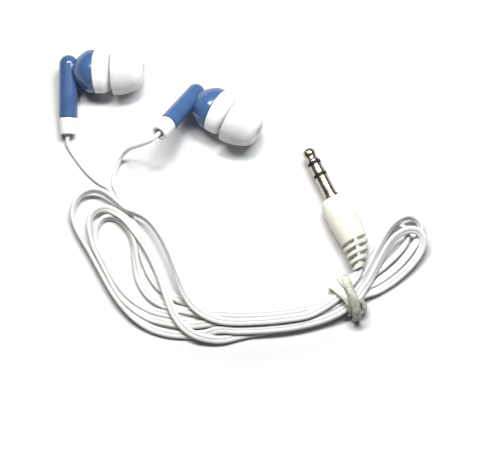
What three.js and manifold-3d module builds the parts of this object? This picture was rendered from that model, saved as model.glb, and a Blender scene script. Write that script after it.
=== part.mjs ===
// Wired in-ear earphones with a 3.5 mm three-contact plug, their cord folded into a hank
// held by an elastic band. Millimetres, +Z up. The origin is on the floor, under the
// middle of the box around the two earbuds, and +X runs from the left earbud to the right.
import * as THREE from 'three';
import { mergeVertices } from 'three/addons/utils/BufferGeometryUtils.js';
import Module from 'manifold-3d';

const wasm = await Module();
wasm.setup();

// ---- Driving dimensions -------------------------------------------------------------

const SIDES = 16; // facets round every turned piece, so that coaxial pieces line up
const FIT = 0.1; // gap between coaxial pieces
const SEAM = 0.2; // gap at a seam that shows

// Earbud frame: the origin is where the stem's axis crosses the head's axis, +X runs
// forward along the head, and the stem runs along -Y.
const stem = { radius: 2.42, footRadius: 2.38, top: 1.9, foot: -11.9, bore: 1.75 };
const cap = { foot: -16.3, footRadius: 2.05, spigot: 1.6, hole: 0.75, mouth: 1.3 };
const head = { radius: 5.65, rim: 6.9, lipRadius: 5.3, wall: 0.7, lipBack: 6.1 };
const nozzle = { start: 11.4, end: 17.1, radius: 2.2, bead: 2.4, bore: 1.5, recess: 1.9 };
const tip = { skirt: 11.75, front: 19.7, radius: 6.05, sleeve: 2.55, soundBore: 1.9, wall: 0.45 };
const driver = { radius: 4.7, back: 5.8, front: 8.5, yokeRadius: 2.8, yokeBack: 4.8, coil: 2,
  film: 0.15, filmSeat: 8 };

// Where each earbud lies: its origin, and its turns about Z (yaw), Y (pitch) and X (roll).
const DEGREE = Math.PI / 180;
const earbudPlaces = {
  left: { origin: [-24, 7.29, 5.32], yaw: -1, pitch: 3.4, roll: 11.8 },
  right: { origin: [8.07, 0.33, 5.32], yaw: -31, pitch: 3.4, roll: -27.5 },
};

// Plug frame: the origin is the centre of the shoulder, and +X runs to the pin's point.
const plug = { radius: 1.75, length: 14, collar: 2.1, collarLength: 0.6 };
const contactEnds = { tip: 9.85, ringFront: 8.95, ringBack: 6.4, sleeve: 5.5 };
const plugBody = { front: -0.8, radius: 3.9, back: -20, backRadius: 1.55 };
const slots = { count: 4, first: -13, pitch: 1.76, width: 0.85, depth: 1.4, web: 0.9 };
const reliefBend = { start: -12.8, sideways: 2.2, power: 1.6 }; // the relief curves to +Y
const plugPlace = { origin: [43.6, -25.6, 3.9], yaw: 115.8 };

// Cord: a single strand to each earbud, and a flat pair of strands from there to the plug.
const strandRadius = 0.52;
const leftRoute = [
  [-24.08, -8.96, 1.92], [-24.1, -9.9, 1.7], [-24.1, -11.1, 1.2], [-23.4, -12.8, 0.7],
  [-21.5, -15.4, 0.6], [-19, -18.6, 0.6], [-16.4, -20.9, 0.6], [-14.2, -22.9, 0.6],
];
const rightRoute = [
  [0.1, -12.06, 12.96], [-0.38, -12.8, 13.42], [-1.6, -13.7, 13.3], [-3.6, -13.5, 11.6],
  [-5.6, -13, 9], [-7.9, -13.1, 5.6], [-9.9, -14.2, 2.8], [-11.2, -16.1, 1.1],
  [-11.9, -18.9, 0.6], [-12, -21.6, 0.6], [-11.8, -23.7, 0.6],
];
const mainRoute = [
  [50.32, -44.86, 3.9], [50.3, -45.3, 3.75], [50.35, -45.9, 3.1], [50.4, -46.45, 2.3],
];
const hankHeight = 3.6;
const hankOutline = [
  [-22.9, -29.2], [-21.2, -24.9], [-17.2, -23.3], [-12.6, -24.7], [-4.5, -28.5], [1.5, -33.1],
  [5.1, -42], [8.7, -49.6], [13.7, -52.9], [23.7, -54.1], [35.8, -52.5], [43.5, -50.2],
  [48.3, -48.4], [51.5, -46.6], [53.5, -43], [54.7, -39], [55.9, -35], [58.4, -31.7],
  [62.7, -29.8], [66.6, -30.3], [68.7, -34.1], [67.9, -40], [63.3, -46.2], [56.3, -50],
  [49.9, -54], [44.1, -57.4], [34.8, -60.9], [23.7, -62.3], [14.8, -62.9], [4.7, -62.1],
  [-4.6, -58.8], [-12.2, -51.7], [-17.5, -42], [-21.6, -34.6],
];
// The band runs round the hank where the cord leaves for the plug.
const band = { centre: [48.9, -51.3], yaw: 14, radius: 1, width: 9, height: 4.4, gap: 0.35 };

// ---- Helpers --------------------------------------------------------------------------

// Merges the corners that share a place and drops the triangles that this closes up.
function clean(geometry) {
  geometry.deleteAttribute('normal');
  geometry.deleteAttribute('uv');
  const merged = mergeVertices(geometry, 1e-5);
  const kept = [];
  for (let i = 0; i < merged.index.count; i += 3) {
    const corners = [0, 1, 2].map((k) => merged.index.getX(i + k));
    if (new Set(corners).size === 3) kept.push(...corners);
  }
  merged.setIndex(kept);
  merged.computeVertexNormals();
  return merged;
}

function toSolid(geometry) {
  const shape = clean(geometry.clone());
  const vertProperties = new Float32Array(shape.attributes.position.array);
  const triVerts = new Uint32Array(shape.index.array);
  return new wasm.Manifold(new wasm.Mesh({ numProp: 3, vertProperties, triVerts }));
}

function toGeometry(solid) {
  const mesh = solid.getMesh();
  const geometry = new THREE.BufferGeometry();
  geometry.setAttribute('position', new THREE.BufferAttribute(mesh.vertProperties, 3));
  geometry.setIndex(new THREE.BufferAttribute(mesh.triVerts, 1));
  geometry.computeVertexNormals();
  return geometry;
}

function join(...geometries) {
  return toGeometry(geometries.map(toSolid).reduce((a, b) => a.add(b)));
}

function cut(geometry, ...tools) {
  return toGeometry(tools.map(toSolid).reduce((a, b) => a.subtract(b), toSolid(geometry)));
}

// Turns a profile of [distance along the axis, radius] points about the Y axis.
function turnedY(profile, sides = SIDES) {
  const points = profile.map(([along, radius]) => new THREE.Vector2(radius, along));
  if (THREE.ShapeUtils.area(points) < 0) points.reverse();
  return clean(new THREE.LatheGeometry(points, sides));
}

function turnedX(profile, sides = SIDES) {
  return turnedY(profile, sides).rotateZ(-Math.PI / 2);
}

// A ring or disc as a closed profile between two places and two radii.
function ring(from, to, inner, outer) {
  return turnedX([[from, inner], [from, outer], [to, outer], [to, inner], [from, inner]]);
}

// Points on a quarter ellipse from (x, r) = (centre, radius) to (centre + reach, 0).
function roundedEnd(centre, radius, reach, steps) {
  return Array.from({ length: steps + 1 }, (_, i) => {
    const angle = (i / steps) * (Math.PI / 2);
    return [centre + reach * Math.sin(angle), i === steps ? 0 : radius * Math.cos(angle)];
  });
}

function ellipse(halfWidth, halfHeight, corners) {
  const shape = new THREE.Shape();
  for (let i = 0; i < corners; i += 1) {
    const angle = ((i + 0.5) / corners) * 2 * Math.PI;
    const place = [halfWidth * Math.cos(angle), halfHeight * Math.sin(angle)];
    if (i === 0) shape.moveTo(...place);
    else shape.lineTo(...place);
  }
  shape.closePath();
  return shape;
}

// A tube of the given section along a smooth curve through the points.
function tube(points, section, steps) {
  const path = new THREE.CatmullRomCurve3(points.map((p) => new THREE.Vector3(...p)));
  return clean(new THREE.ExtrudeGeometry(section, { steps, extrudePath: path }));
}

function part(name, geometry, colour, roughness, metalness = 0) {
  const material = new THREE.MeshStandardMaterial({ color: colour, roughness, metalness });
  const mesh = new THREE.Mesh(geometry, material);
  mesh.name = name;
  return mesh;
}

// ---- Earbud shells --------------------------------------------------------------------

function housingGeometry() {
  const roundedTop = roundedEnd(stem.top, stem.radius, stem.radius, 4);
  const stemBody = turnedY([[stem.foot, 0], [stem.foot, stem.footRadius], ...roundedTop]);
  const dome = turnedX([
    [0.4, 0], [0.9, 1.6], [2.1, 3.2], [3, 4.1], [4.05, 4.9], [4.8, 5.35], [5.7, head.radius],
    [head.rim, head.radius], [head.rim, 0],
  ]);
  const past = head.rim + 1;
  const cavity = turnedX([
    [-0.6, 0], [-0.6, 1.1], [2.4, 2.6], [3.4, 3.7], [4.4, 4.5], [5.4, head.radius - head.wall],
    [head.lipBack, head.radius - head.wall], [head.lipBack, head.lipRadius],
    [past, head.lipRadius], [past, 0],
  ]);
  const bore = turnedY([[stem.foot - 1, 0], [stem.foot - 1, stem.bore], [0, stem.bore], [1, 0]]);
  return cut(join(stemBody, dome), cavity, bore);
}

function frontCoverGeometry() {
  const back = head.rim + SEAM;
  const lip = head.lipRadius - FIT;
  return turnedX([
    [back, lip], [back, head.radius], [9, head.radius], [10.05, 5.35], [10.75, 4.7],
    [11.2, 3.8], [nozzle.start, nozzle.radius], [nozzle.end - 1.3, nozzle.radius],
    [nozzle.end - 1, nozzle.bead], [nozzle.end - 0.3, nozzle.bead], [nozzle.end, 2.15],
    [nozzle.end, nozzle.recess], [nozzle.end - 0.55, nozzle.recess],
    [nozzle.end - 0.55, nozzle.bore], [10.8, nozzle.bore], [10.5, 3.4], [10, 4.4], [9.5, 4.95],
    [head.lipBack + SEAM, 4.95], [head.lipBack + SEAM, lip], [back, lip],
  ]);
}

function earTipGeometry() {
  const { skirt, front, radius, sleeve, soundBore, wall } = tip;
  const seat = nozzle.end + 0.3;
  return turnedX([
    [skirt, radius], [13.4, radius], [15.5, 5.6], [17.3, 4.9], [18.6, 4.15], [19.3, 3.6],
    [front, 2.8], [front, soundBore], [seat, soundBore], [seat, sleeve],
    [skirt + 0.2, sleeve], [skirt + 0.2, sleeve + 0.6], [16.7, sleeve + 0.6], [17.6, 3.6],
    [16.9, 4.55], [15.3, 5.6 - wall], [13.3, radius - wall], [skirt, radius - wall],
    [skirt, radius],
  ]);
}

function stemCapGeometry() {
  const shoulder = stem.foot - SEAM;
  return turnedY([
    [cap.foot, cap.mouth], [cap.foot, cap.footRadius - 0.15], [cap.foot + 0.2, cap.footRadius],
    [shoulder, stem.footRadius - 0.05], [shoulder, cap.spigot], [shoulder + 2.4, cap.spigot],
    [shoulder + 2.4, cap.hole], [cap.foot + 1.6, cap.hole], [cap.foot + 1.4, cap.mouth],
    [cap.foot, cap.mouth],
  ]);
}

// ---- Earbud inside --------------------------------------------------------------------

function driverFrameGeometry() {
  const { radius, back, front, yokeRadius } = driver;
  const basket = turnedX([
    [back, yokeRadius + FIT], [back, radius], [front, radius], [front, radius - 0.4],
    [back + 0.5, radius - 0.4], [back + 0.5, yokeRadius + FIT], [back, yokeRadius + FIT],
  ]);
  const vents = [45, 135, 225, 315].map((angle) => {
    const vent = new THREE.CylinderGeometry(0.35, 0.35, 2, 8).rotateZ(Math.PI / 2);
    vent.translate(back + 0.2, 3.5, 0);
    return vent.rotateX(angle * DEGREE);
  });
  return cut(basket, ...vents);
}

function yokeGeometry() {
  const { yokeRadius, yokeBack } = driver;
  const wall = yokeRadius - 0.4;
  return turnedX([
    [yokeBack, 0.5], [yokeBack, yokeRadius], [7.3, yokeRadius], [7.3, wall],
    [yokeBack + 0.5, wall], [yokeBack + 0.5, 0.5], [yokeBack, 0.5],
  ]);
}

function diaphragmGeometry() {
  // A film with a centre dome, a valley over the coil, and a rolled surround.
  const rise = [[0.5, 0], [0.45, 0.9], [0.2, 1.7], [-0.05, 2.1], [0.35, 2.9], [0.2, 4.1]];
  const outline = rise.map(([x, r]) => [driver.filmSeat + x, r]);
  const underside = outline.map(([x, r]) => [x - driver.film, r]).reverse();
  return turnedX([...outline, ...underside]);
}

function terminalBoardGeometry() {
  const board = new THREE.BoxGeometry(0.5, 2.4, 3.6).translate(4.3, 0, 0);
  const pads = [-1, 1].map((side) => {
    const pad = new THREE.SphereGeometry(0.5, 8, 6).scale(0.7, 1, 1);
    return pad.translate(4.05, 0, side * 1.1);
  });
  return join(board, ...pads);
}

// The knot that keeps the cord from pulling out of the stem, and the cord's end below it.
function cordKnotGeometry() {
  const knot = [[-8.6, strandRadius], [-8.2, 1.1], [-7.6, 1.3], [-6.9, 1.3], [-6.4, 1], [-6.2, 0]];
  return turnedY([[cap.foot, 0], [cap.foot, strandRadius], ...knot], 10);
}

function wireGeometry(side) {
  const route = [
    [3.2, 0, side * 1.1], [2.2, -0.2, side * 1.05], [1, -0.9, side * 0.8],
    [0.2, -2.4, side * 0.55], [0, -5.2, side * 0.45],
  ];
  return tube(route, ellipse(0.16, 0.16, 6), 9);
}

function earbud(side, place) {
  const { radius, back, front, yokeBack, coil } = driver;
  const white = '#f4f5f2';
  const steel = '#8c8f94';
  const pieces = [
    part('housing', housingGeometry(), '#4a72ab', 0.22),
    part('front_cover', frontCoverGeometry(), white, 0.2),
    part('ear_tip', earTipGeometry(), '#eef0ec', 0.45),
    part('stem_cap', stemCapGeometry(), white, 0.25),
    part('nozzle_mesh', ring(nozzle.end - 0.45, nozzle.end - 0.2, 0, nozzle.recess - FIT),
      '#b9bcc0', 0.5, 0.8),
    part('driver_frame', driverFrameGeometry(), '#2c2d30', 0.6),
    part('diaphragm_ring', ring(front + FIT, front + 0.4, radius - 0.45, radius), '#b48a4a', 0.4, 0.6),
    part('front_gasket', ring(front + 0.5, front + 0.8, radius - 0.6, radius), '#3a3a3c', 0.9),
    part('damping_felt', ring(back - 0.4, back - FIT, 3, 4.3), '#d9d6cc', 0.95),
    part('yoke', yokeGeometry(), steel, 0.35, 0.9),
    part('magnet', ring(yokeBack + 0.6, 6.6, 0.5, 1.7), '#a9abb0', 0.3, 0.9),
    part('top_plate', ring(6.7, 7.25, 0.5, coil - 0.2), steel, 0.35, 0.9),
    part('voice_coil', ring(6.3, 7.7, coil, coil + 0.2), '#b5673a', 0.4, 0.8),
    part('diaphragm', diaphragmGeometry(), '#d8c9a0', 0.35),
    part('terminal_board', terminalBoardGeometry(), '#2f6b3c', 0.6),
    part('signal_wire', wireGeometry(1), '#b03030', 0.5),
    part('ground_wire', wireGeometry(-1), '#c98b3a', 0.5),
    part('cord_knot', cordKnotGeometry(), '#f6f6f4', 0.45),
  ];
  const group = new THREE.Group();
  for (const piece of pieces) {
    piece.name = `${side}_${piece.name}`;
    group.add(piece);
  }
  group.position.set(...place.origin);
  const { roll, pitch, yaw } = place;
  group.rotation.set(roll * DEGREE, -pitch * DEGREE, yaw * DEGREE, 'ZYX');
  return group;
}

// ---- Plug -----------------------------------------------------------------------------

// A contact or insulator: a full-width ring that shows, and a thinner tail inside the
// ones behind it.
function contact(front, back, outer, tailRadius, tailEnd, bore) {
  return turnedX([
    [tailEnd, bore], [tailEnd, tailRadius], [back, tailRadius], [back, outer],
    [front, outer], [front, bore], [tailEnd, bore],
  ]);
}

function plugTipGeometry() {
  const { length, radius } = plug;
  const back = contactEnds.tip;
  return turnedX([
    [-6, 0], [-6, 0.45], [back, 0.45], [back, radius], [back + 0.35, radius],
    [back + 1.2, 1.3], [back + 1.5, 1.3], [length - 1.6, 1.68], [length - 0.9, 1.5],
    [length - 0.25, 0.9], [length, 0.4], [length, 0],
  ]);
}

function plugSleeveGeometry() {
  const { radius, collar, collarLength } = plug;
  return turnedX([
    [-3.4, 1.45], [-3.4, radius], [-collarLength, radius], [-collarLength, collar],
    [0, collar], [0, radius], [contactEnds.sleeve, radius], [contactEnds.sleeve, 1.45],
    [-3.4, 1.45],
  ]);
}

// The cream outer moulding, with a slotted strain relief behind and one web down each side.
function plugBodyGeometry() {
  const { front, radius, back, backRadius } = plugBody;
  const reliefRadius = [3.45, 3.3, 2.95, 2.35, backRadius + 0.1];
  const lands = [];
  for (let i = 0; i < slots.count; i += 1) {
    const slotFront = slots.first - i * slots.pitch;
    const slotBack = slotFront - slots.width;
    const floor = Math.max(reliefRadius[i + 1] - slots.depth, 1.35);
    lands.push([slotFront, reliefRadius[i]], [slotFront, floor]);
    lands.push([slotBack, floor], [slotBack, reliefRadius[i + 1] + 0.15]);
  }
  // The bore has a corner every so often, so that it can follow the bend.
  const bore = Array.from({ length: 6 }, (_, i) => [back + i * ((reliefBend.start - back) / 5), 1.15]);
  const moulding = turnedX([
    [front, 1.9], [front, 2.9], [front - 0.5, 3.4], [front - 2, 3.75], [-6, radius],
    [-10, 3.75], ...lands, [back, backRadius], ...bore, [-10.2, 1.15], [-10.2, 2.6],
    [-3.5, 2.6], [-3.5, 1.9], [front, 1.9],
  ]);
  const webs = [1, -1].map((side) => {
    const rise = new THREE.Shape();
    rise.moveTo(slots.first + 0.3, 1.4);
    rise.lineTo(slots.first + 0.3, reliefRadius[0] - 0.12);
    rise.lineTo(slots.first - 3.6, 2.3);
    rise.lineTo(back + 0.6, backRadius - 0.1);
    rise.lineTo(back + 0.6, 1.3);
    const web = new THREE.ExtrudeGeometry(rise, { depth: slots.web, bevelEnabled: false });
    return web.translate(0, 0, -slots.web / 2).rotateX((side * Math.PI) / 2);
  });
  return join(moulding, ...webs);
}

// Shifts what lies behind the start of the strain relief sideways, more and more.
function bend(geometry) {
  const { start, sideways, power } = reliefBend;
  const place = geometry.attributes.position;
  for (let i = 0; i < place.count; i += 1) {
    const along = Math.max(start - place.getX(i), 0) / (start - plugBody.back);
    place.setY(i, place.getY(i) + sideways * along ** power);
  }
  return geometry;
}

// The end of the cord, inside the strain relief and the core.
function plugCordEndGeometry() {
  const route = [0, 1, 2, 3, 4].map((i) => [-6.6 + (i / 4) * (plugBody.back + 6.6), 0, 0]);
  return bend(tube(route, ellipse(strandRadius, 2 * strandRadius - 0.1, 8), 12));
}

function plugGroup() {
  const { tip: tipBack, ringFront, ringBack, sleeve } = contactEnds;
  const { radius } = plug;
  const gold = '#b9b4a6';
  const black = '#161616';
  const core = turnedX([
    [-9.8, 1.2], [-9.8, 2.45], [-3.7, 2.45], [-3.7, 0.6], [-6.2, 0.6], [-6.2, 1.2], [-9.8, 1.2],
  ]);
  const group = new THREE.Group();
  group.add(
    part('plug_tip', plugTipGeometry(), gold, 0.2, 1),
    part('plug_front_insulator',
      contact(tipBack - FIT, ringFront + FIT, radius - 0.05, 0.75, -2.8, 0.55), black, 0.5),
    part('plug_ring', contact(ringFront, ringBack, radius, 1.05, -2.2, 0.85), gold, 0.2, 1),
    part('plug_rear_insulator',
      contact(ringBack - FIT, sleeve + FIT, radius - 0.05, 1.35, -3, 1.15), black, 0.5),
    part('plug_sleeve', plugSleeveGeometry(), gold, 0.2, 1),
    part('plug_core', core, '#ded9c8', 0.6),
    part('plug_body', bend(plugBodyGeometry()), '#f1f0e4', 0.4),
    part('plug_cord_end', plugCordEndGeometry(), '#f6f6f4', 0.45),
  );
  group.position.set(...plugPlace.origin);
  group.rotation.z = plugPlace.yaw * DEGREE;
  return group;
}

// ---- Cord, hank and band ----------------------------------------------------------------

// The band's path lies across the hank: a flat oval in an upright plane.
function bandPath(grow) {
  const halfWidth = band.width / 2;
  const halfHeight = band.height / 2;
  const points = [];
  for (let i = 0; i < 24; i += 1) {
    const angle = (i / 24) * 2 * Math.PI;
    const across = Math.sign(Math.cos(angle)) * Math.abs(Math.cos(angle)) ** 0.7 * halfWidth;
    const up = Math.sign(Math.sin(angle)) * Math.abs(Math.sin(angle)) ** 0.8 * halfHeight;
    points.push(new THREE.Vector3(0, across, up + halfHeight + band.radius + grow));
  }
  return new THREE.CatmullRomCurve3(points, true);
}

function placeBand(geometry) {
  return geometry.rotateZ(band.yaw * DEGREE).translate(...band.centre, 0);
}

function bandGeometry() {
  const section = ellipse(band.radius, band.radius, 8);
  const options = { steps: 28, extrudePath: bandPath(0) };
  return placeBand(clean(new THREE.ExtrudeGeometry(section, options)));
}

function hankGeometry() {
  const outline = new THREE.Shape();
  const curve = new THREE.CatmullRomCurve3(
    hankOutline.map(([x, y]) => new THREE.Vector3(x, y, 0)), true,
  );
  outline.setFromPoints(curve.getPoints(64).slice(0, -1).map((p) => new THREE.Vector2(p.x, p.y)));
  const slab = new THREE.ExtrudeGeometry(outline, { depth: hankHeight, bevelEnabled: false });
  const section = ellipse(band.radius + band.gap, band.radius + band.gap, 8);
  const room = new THREE.ExtrudeGeometry(section, { steps: 28, extrudePath: bandPath(0) });
  return cut(slab, placeBand(room));
}

function cordParts() {
  const white = '#f6f6f4';
  const round = ellipse(strandRadius, strandRadius, 8);
  const twin = ellipse(strandRadius, 2 * strandRadius - 0.1, 8);
  return [
    part('left_cord', tube(leftRoute, round, 14), white, 0.45),
    part('right_cord', tube(rightRoute, round, 18), white, 0.45),
    part('main_cord', tube(mainRoute, twin, 5), white, 0.45),
    part('cord_hank', hankGeometry(), white, 0.45),
    part('hank_band', bandGeometry(), '#c9cbbd', 0.55),
  ];
}

// ---- Assembly -----------------------------------------------------------------------------

const earphones = new THREE.Group();
for (const [side, place] of Object.entries(earbudPlaces)) earphones.add(earbud(side, place));
earphones.add(plugGroup(), ...cordParts());

export default earphones;
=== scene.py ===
"""Wired earphones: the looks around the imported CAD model. Metres, +Z up, the CAD's own frame."""

import math

import bmesh
import bpy
import numpy as np
from mathutils import Matrix, Vector


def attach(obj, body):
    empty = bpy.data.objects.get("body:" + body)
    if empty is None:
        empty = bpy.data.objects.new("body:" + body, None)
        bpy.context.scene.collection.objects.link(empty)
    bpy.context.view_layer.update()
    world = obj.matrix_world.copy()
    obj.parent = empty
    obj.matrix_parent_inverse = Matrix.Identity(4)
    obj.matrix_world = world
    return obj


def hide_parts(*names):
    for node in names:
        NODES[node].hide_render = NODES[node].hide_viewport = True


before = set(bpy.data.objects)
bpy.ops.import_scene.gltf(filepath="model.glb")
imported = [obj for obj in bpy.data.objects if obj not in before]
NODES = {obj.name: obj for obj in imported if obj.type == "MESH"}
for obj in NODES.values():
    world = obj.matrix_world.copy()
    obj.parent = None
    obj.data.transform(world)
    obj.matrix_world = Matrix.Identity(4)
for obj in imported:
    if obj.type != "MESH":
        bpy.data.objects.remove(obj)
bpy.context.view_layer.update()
MM = 0.001

# ---- Sizes and places, in millimetres, as the CAD has them ----------------------------------

# Where each earbud lies: its origin, and its turns about Z (yaw), Y (pitch) and X (roll).
EARBUDS = {
    "left": {"origin": (-24, 7.29, 5.32), "yaw": -1, "pitch": 3.4, "roll": 11.8},
    "right": {"origin": (8.07, 0.33, 5.32), "yaw": -31, "pitch": 3.4, "roll": -27.5},
}
HEAD_RADIUS = 5.65  # of an earbud's housing and front cover
STEM_RADIUS = 2.42
PLUG = {"origin": (43.6, -25.6, 3.9), "yaw": 115.8}
PIN_RADIUS = 1.75
RELIEF_START = 12.8  # behind the plug's shoulder, where the strain relief starts to bend
RELIEF_LENGTH = 7.2
RELIEF_SWING = 2.2  # how far aside its end lies

STRAND_RADIUS = 0.52
STRAND_GAP = 1.0  # between the middles of the cord's two strands
STRAND_SIDES = 20
# A strand's section where it faces its twin, in radii: corners from the middle of that side to
# where it is round again. They replace a ring's first corners and, mirrored, its last ones.
TWIN_SIDE = [(0.96, 0), (0.96, 0.5), (0.94, 0.83), (0.8, 0.95), (0.5, 0.985)]
ROUTE_STEP = 0.8  # between the points that are eased apart
PATH_STEP = 0.4  # between the points of the finished strands
JOIN = 3  # points of the pair that the single strands take to close up

HANK_LAYERS = [0.55, 1.6, 2.65]  # heights of the layers of cord in the hank
HANK_LANES = [2.15, 0, -2.1]  # places of the passes across the hank
HANK_SQUEEZE = 0.86  # of the lanes' spacing, at the band
TIE_MIDDLE = (48.3, -52)  # the band runs round the hank here
TIE_HEADING = (0.96, 0.28)
TIE_LIFT = 1.1  # the band's thickness under the hank
TIE_REACH = 10  # how far from the band the cord starts to rise over it
TIE_TOP = 3.6  # cord at this height needs no lift
TIE_FADE = 0.8  # over this much height below TIE_TOP the lift comes in

# ---- The cord's route -----------------------------------------------------------------------

# The points are (x, y, z) or (x, y, z, tilt): the flat pair of strands lies flat at tilt 0 and
# stands on its edge at 90 degrees. Each earbud's strand runs alone as far as the split.
LEFT_STRAND = [
    (-24.07, -8.4, 2.03), (-24.25, -9.4, 1.75), (-24.3, -10.6, 1.2), (-23.7, -12.1, 0.7),
    (-22.7, -13.7, 0.55), (-20.9, -16.2, 0.55), (-18.8, -18.7, 0.55), (-16.6, -20.7, 0.55),
    (-14.8, -21.9, 0.55), (-13.6, -22.6, 0.55),
]
RIGHT_STRAND = [
    (0.385, -11.6, 12.68), (-0.25, -12.5, 13.1), (-1.15, -13.3, 13.05), (-2.3, -13.8, 12.2),
    (-3.9, -13.9, 10.5), (-5.9, -13.7, 7.8), (-7.8, -13.6, 5.3), (-9.2, -14, 3.3),
    (-10.3, -15, 1.9), (-11.1, -16.5, 1.1), (-11.7, -18.1, 0.7), (-12.1, -19.7, 0.55),
    (-12.2, -21.2, 0.55), (-12, -22.4, 0.55),
]
# From the split on, the points are those of the pair: first along to the hank, and then to and
# fro between the loops at both its ends.
SPLIT = [
    (-11.9, -23.8, 0.55), (-10.9, -25.6, 0.55), (-9.6, -27.4, 0.55), (-8.4, -29.3, 0.55),
    (-7.1, -31.7, 0.55), (-5.8, -34.8, 0.55), (-4.7, -38.4, 0.55), (-3.6, -42.1, 0.55),
    (-2.2, -45.4, 0.55), (-0.2, -48.3, 0.55), (2.3, -50.3, 0.55), (5.4, -51.9, 0.55),
    (9.2, -53.4, 0.55), (12.6, -54.7, 0.55),
]
INNER_LEFT_LOOP = [
    (11.5, -55.5, 1.6), (8, -55.1, 1.4), (4.9, -54.5, 1), (1.6, -53.5, 0.6),
    (-2.2, -51.1, 0.55), (-4.8, -47.2, 0.6), (-6, -42.1, 0.9, -30), (-6.6, -37.5, 1.1, -55),
    (-8, -34, 1.15, -62), (-10, -31.7, 1.15, -65), (-12.3, -30.5, 1.15, -68),
    (-14.6, -31, 1.15, -70), (-16, -33, 1.15, -72), (-16.4, -35.6, 1.1, -74),
    (-15.8, -38.4, 1.1, -72),
    (-13.9, -42.1, 1.1, -66), (-10.6, -47.8, 1, -50), (-8, -50.8, 0.8, -30), (-4.8, -53.2, 0.6, -10),
    (-1.6, -54.7, 0.55), (2.1, -55.6, 0.55), (6.7, -56.4, 0.55), (11.5, -57.2, 0.55),
]
MIDDLE_LEFT_LOOP = [
    (11.6, -58.1, 1.5), (7, -58.3, 0.9), (2.4, -57.6, 0.55), (-2.1, -56.5, 0.55),
    (-5.9, -54.4, 0.7, 10), (-8.8, -51.9, 1, 25), (-11, -48.9, 1.1, 45), (-12.7, -45.7, 1.1, 60),
    (-14.6, -42, 1.1, 70), (-16.3, -38.8, 1.2, 75), (-17.3, -36, 1.3, 75),
    (-17.9, -33.1, 1.6, 72), (-17.5, -30.5, 1.9, 60), (-15.8, -28.9, 2.2, 45),
    (-13.5, -28.6, 2.4, 30), (-11.2, -29.6, 2.5, 15), (-8.9, -31.2, 2.5, 10),
    (-6.6, -33.9, 2.4, 5), (-4, -37.4, 2.2), (-1.6, -41.6, 2), (0.5, -46.3, 1.9),
    (2.1, -51, 1.9), (3.8, -55.3, 1.9), (6.2, -58.8, 1.9), (9.3, -60.9, 1.5),
    (12.9, -61.8, 1.1), (16.4, -61.9, 0.8), (20.4, -61, 0.6),
]
OUTER_LEFT_LOOP = [
    (11.8, -60.5, 0.8), (6.7, -60.8, 0.6), (2, -60.3, 0.55), (-2.1, -58.9, 0.6, 10),
    (-5.9, -56.4, 0.9, 25), (-9.4, -52.9, 1.1, 45), (-12, -49.4, 1.1, 60), (-14, -46.1, 1.1, 70),
    (-16, -42.6, 1.1, 75), (-17.9, -39.3, 1.1, 78), (-19.8, -36.2, 1.1, 78),
    (-21.4, -33.2, 1.15, 78), (-22.3, -29.9, 1.4, 75), (-21.7, -27, 1.9, 70),
    (-19.8, -24.7, 2.4, 65), (-17.2, -23.8, 2.7, 62), (-14.8, -24.2, 2.7, 60),
    (-12.6, -25.6, 2.5, 60), (-10.4, -27.5, 2.3, 60), (-8.6, -28.9, 2.4, 62),
    (-6.1, -29.9, 2.7, 64), (-3.4, -31.4, 3.1, 66), (-1, -34, 3.5, 66), (1, -37.2, 3.7, 64),
    (2.7, -40.8, 3.6, 58), (4.1, -44.5, 3.4, 48), (5.4, -48, 3.1, 34), (7, -51.4, 2.9, 18),
    (9.1, -54.1, 2.8, 6), (11.8, -56.1, 2.75), (15.3, -57.4, 2.7),
]
# The middle of the hank, from the left loops to the band. Its passes keep their lanes beside it.
HANK_MIDDLE = [
    (15.3, -57.6), (19.5, -57.8), (24, -57.7), (28.5, -57.4), (33, -56.9), (37.6, -56),
    (41.6, -54.8), (44.6, -53.4), (46.8, -52), (48.4, -50.6),
]
INNER_RIGHT_LOOP = [
    (50.1, -48.4, 0.55), (52.4, -46.9, 0.55), (54.5, -45.2, 0.7, -10), (56.7, -43.5, 0.9, -25),
    (58.9, -41.6, 1, -40), (60.7, -39.9, 1.1, -50), (62.1, -38.1, 1.15, -58),
    (63, -36.1, 1.15, -62), (62.8, -34.1, 1.15, -64), (61.2, -32.9, 1.15, -64),
    (59.2, -33.4, 1.15, -62), (57.4, -35, 1.2, -60), (55.9, -36.9, 1.3, -55),
    (54.6, -38.7, 1.5, -42), (53.2, -40.8, 1.7, -40), (51.9, -42.8, 1.75, -40), (50.4, -44.8, 1.75, -40),
    (48.5, -46.8, 1.7, -25),
]
MIDDLE_RIGHT_LOOP = [
    (51.3, -49.2, 0.55), (54.1, -47.9, 0.55), (57.1, -46, 0.65), (60.2, -43.5, 0.85, -5),
    (62.6, -40.9, 1.1, -15), (64.5, -38.4, 1.3, -30), (65.9, -36, 1.4, -45),
    (66.6, -33.9, 1.6, -58), (65.9, -31.9, 1.9, -64), (63.9, -30.8, 2.2, -66),
    (61.3, -31.5, 2.6, -66), (58.6, -33.8, 2.7, -64), (56.4, -37.3, 2.4, -55),
    (54.8, -40.3, 2.4, -50), (53.4, -43.1, 2.2, -48), (51.7, -45.8, 1.95, -45),
    (49.9, -48.2, 1.75, -25),
]
OUTER_RIGHT_LOOP = [
    (51.8, -50.5, 0.55), (55.1, -49.4, 0.6), (58.5, -47.5, 0.8), (61.6, -45.1, 1.1),
    (64.2, -42.5, 1.5, -10), (66.1, -39.8, 2, -20), (66.9, -37.5, 2.6, -35),
    (66.3, -35.5, 3.1, -40), (64.6, -34.5, 3.4, -40), (62.3, -34.7, 3.4, -40),
    (59.9, -36.1, 3.2, -45), (57.8, -38.5, 2.8, -50), (56.2, -41.3, 2.4, -50),
    (54.7, -44.1, 2, -50), (53.1, -47, 1.8, -45), (51.2, -49.6, 1.7, -25),
]
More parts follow.
